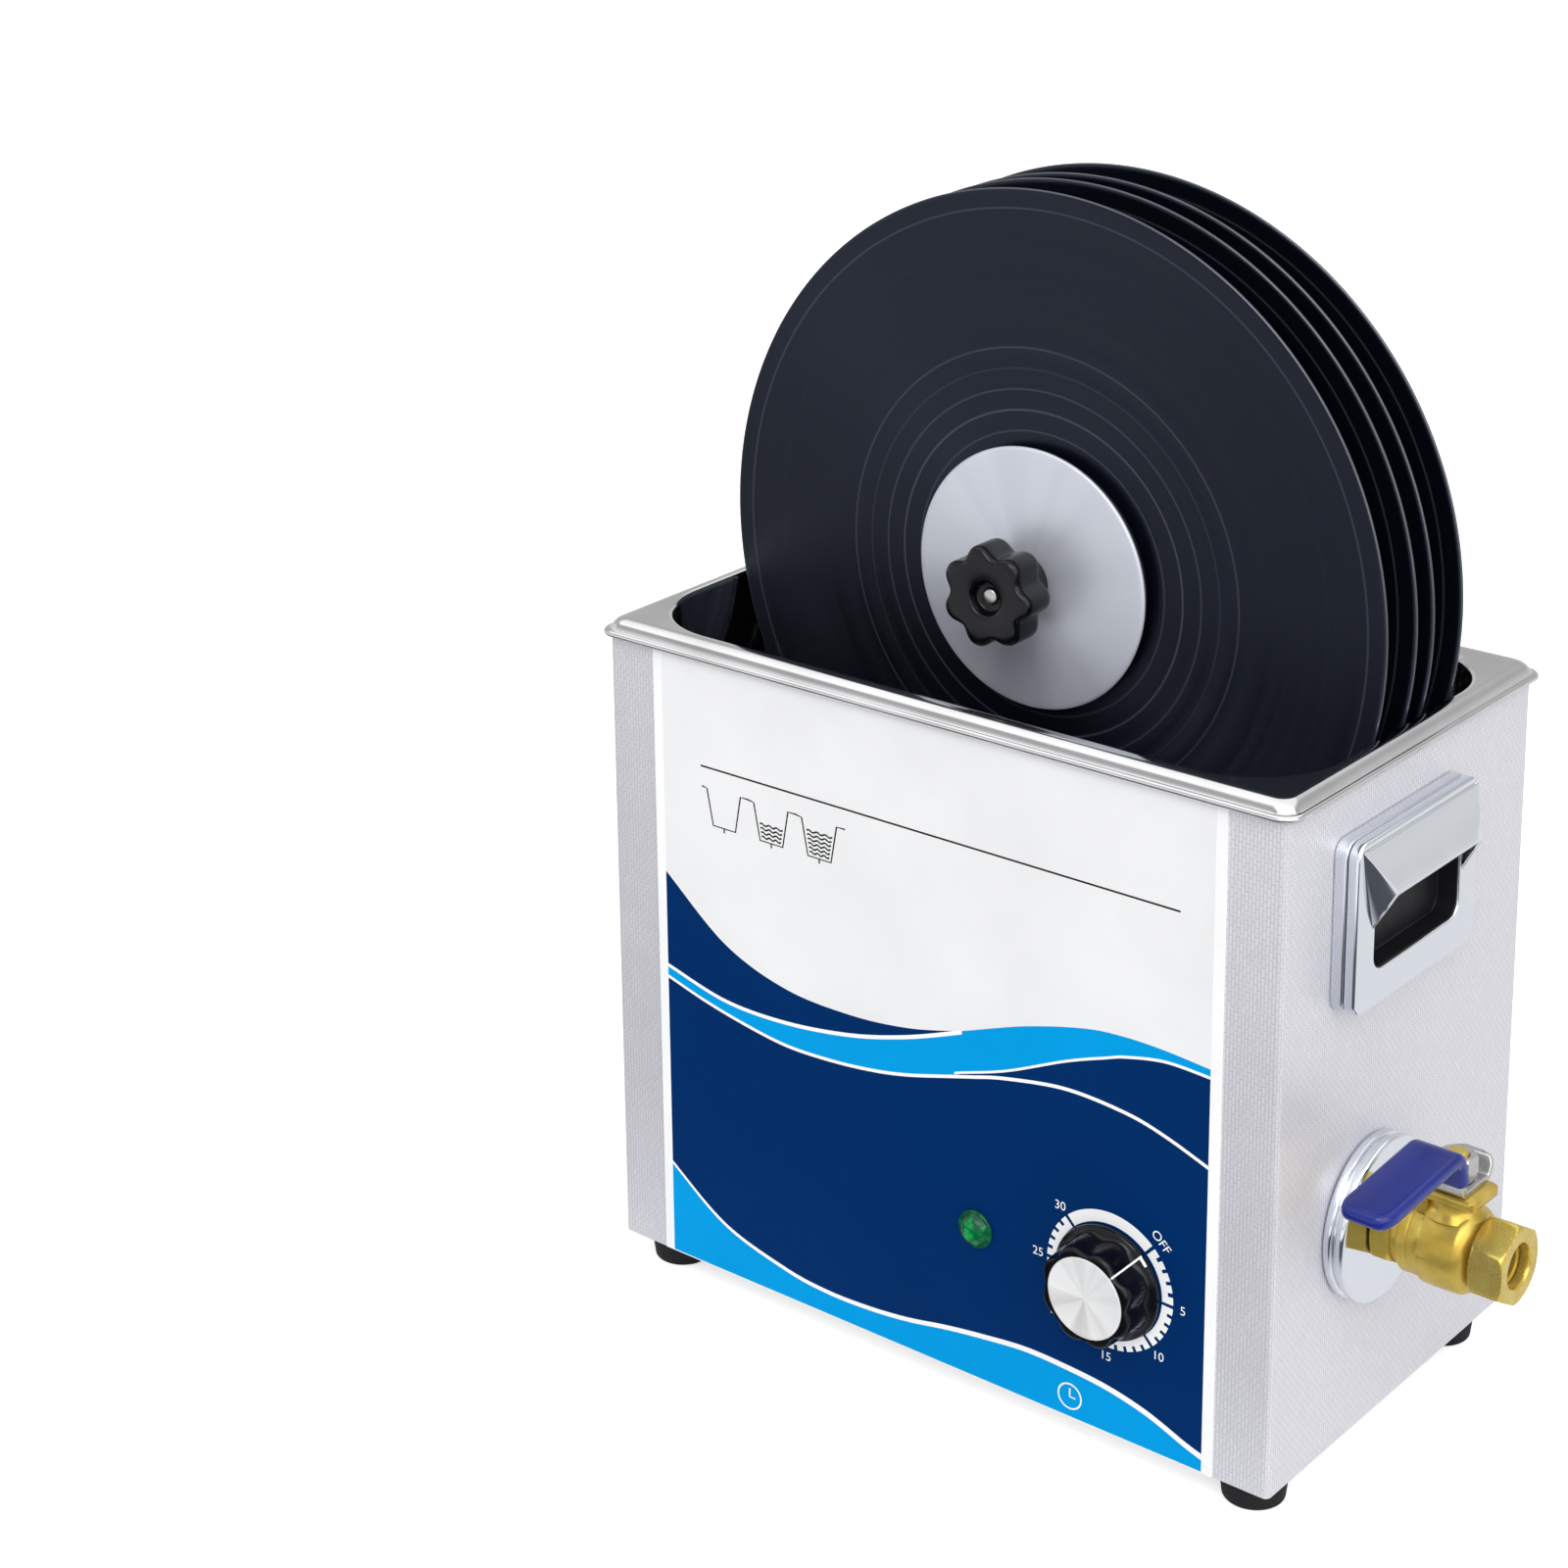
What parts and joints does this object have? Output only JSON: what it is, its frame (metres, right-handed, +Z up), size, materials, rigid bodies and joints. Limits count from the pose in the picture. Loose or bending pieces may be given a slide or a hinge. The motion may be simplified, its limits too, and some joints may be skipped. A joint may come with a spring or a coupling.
{
  "type": "ultrasonic record cleaning machine",
  "caption": "Benchtop ultrasonic bath with a dial timer, side handles and a drain ball valve, and a motor-driven spindle that turns clamped vinyl records in the tank.",
  "frame": {"origin": "on the surface that the feet stand on, under the middle of the whole machine's bounding box, its valve, handles, knobs and motor counted", "axes": "+Z up, -Y out of the front panel, +X towards the side with the drain valve"},
  "size_m": [0.3948, 0.2452, 0.4668],
  "materials": {
    "casing_steel": "fine linen-textured stainless sheet",
    "tank_steel": "bright stainless sheet",
    "panel_film": "white printed polyester film with blue bands",
    "rubber": "matt black rubber",
    "chrome": "polished, slightly clouded",
    "black_plastic": "fine moulded texture",
    "knob_plastic": "glossy black moulding",
    "aluminium": "turned and brushed",
    "brass": "machined brass, a little dull",
    "steel": "plain machined steel",
    "grip_vinyl": "blue dipped vinyl",
    "lamp_green": "clear green lens",
    "record_vinyl": "black vinyl with fine grooves",
    "ceramic": "dark fired ceramic ring",
    "board": "green circuit board"
  },
  "bodies": {
    "casing": {"outer_casing": "casing_steel", "base_plate": "casing_steel", "foot_front_left": "rubber", "foot_front_right": "rubber", "foot_rear_left": "rubber", "foot_rear_right": "rubber", "front_panel": "panel_film", "tank": "tank_steel", "right_handle_backing": "black_plastic", "right_handle_cover": "chrome", "left_handle_backing": "black_plastic", "left_handle_cover": "chrome", "drain_elbow": "steel", "drain_escutcheon": "chrome", "valve_body": "brass", "valve_union_nut": "brass", "timer_body": "black_plastic", "lamp_body": "black_plastic", "lamp_lens": "lamp_green", "rear_panel": "casing_steel", "power_inlet": "black_plastic", "switch_frame": "black_plastic", "fan_frame": "black_plastic", "generator_board": "board", "heat_sink": "aluminium", "transducer_1_horn": "aluminium", "transducer_1_upper_ceramic": "ceramic", "transducer_1_electrode": "steel", "transducer_1_lower_ceramic": "ceramic", "transducer_1_back_mass": "steel", "transducer_2_horn": "aluminium", "transducer_2_upper_ceramic": "ceramic", "transducer_2_electrode": "steel", "transducer_2_lower_ceramic": "ceramic", "transducer_2_back_mass": "steel"},
    "lever": {"valve_ball": "chrome", "valve_stem": "brass", "valve_lever": "steel", "lever_grip": "grip_vinyl", "lever_nut": "steel"},
    "timer": {"timer_shaft": "steel", "timer_knob": "knob_plastic", "knob_cap": "aluminium"},
    "rocker": {"rocker_button": "black_plastic"},
    "fan": {"fan_rotor": "black_plastic"},
    "rack": {"rack_bracket": "tank_steel", "gear_motor": "steel"},
    "spindle": {"shaft_coupler": "aluminium", "spindle": "steel", "rear_clamp_plate": "aluminium", "record_1": "record_vinyl", "record_2": "record_vinyl", "record_3": "record_vinyl", "record_4": "record_vinyl", "label_spacer_1": "black_plastic", "label_spacer_2": "black_plastic", "label_spacer_3": "black_plastic", "label_seal": "rubber"},
    "clamp": {"front_clamp_plate": "aluminium"},
    "knob": {"clamp_knob": "knob_plastic"}
  },
  "joints": [
    {"name": "valve_turn", "type": "hinge", "parent": "casing", "child": "lever", "pos_m": [0.17095, -0.04115, 0.102], "axis": [0, 0, 1], "range_deg": [0, 90]},
    {"name": "timer_turn", "type": "hinge", "parent": "casing", "child": "timer", "pos_m": [0.06485, -0.11615, 0.078], "axis": [0, 1, 0], "range_deg": [0, 273]},
    {"name": "rocker_tilt", "type": "hinge", "parent": "casing", "child": "rocker", "pos_m": [-0.11815, 0.07065, 0.092], "axis": [1, 0, 0], "range_deg": [0, 18]},
    {"name": "fan_spin", "type": "hinge", "parent": "casing", "child": "fan", "pos_m": [0.05385, 0.06285, 0.076], "axis": [0, 1, 0], "continuous": true},
    {"name": "rack_lift", "type": "slide", "parent": "casing", "child": "rack", "axis": [0, 0, 1], "range_m": [0, 0.15]},
    {"name": "spindle_spin", "type": "hinge", "parent": "rack", "child": "spindle", "pos_m": [-0.02215, -0.01615, 0.316], "axis": [0, 1, 0], "continuous": true},
    {"name": "clamp_slide", "type": "slide", "parent": "spindle", "child": "clamp", "axis": [0, -1, 0], "range_m": [0, 0.0025]},
    {"name": "knob_turn", "type": "hinge", "parent": "clamp", "child": "knob", "pos_m": [-0.02215, -0.05615, 0.316], "axis": [0, -1, 0], "range_deg": [0, 720]}
  ],
  "couplings": [
    {"joint": "knob_turn", "follows": "clamp_slide", "rad_per_m": 5026.5}
  ]
}
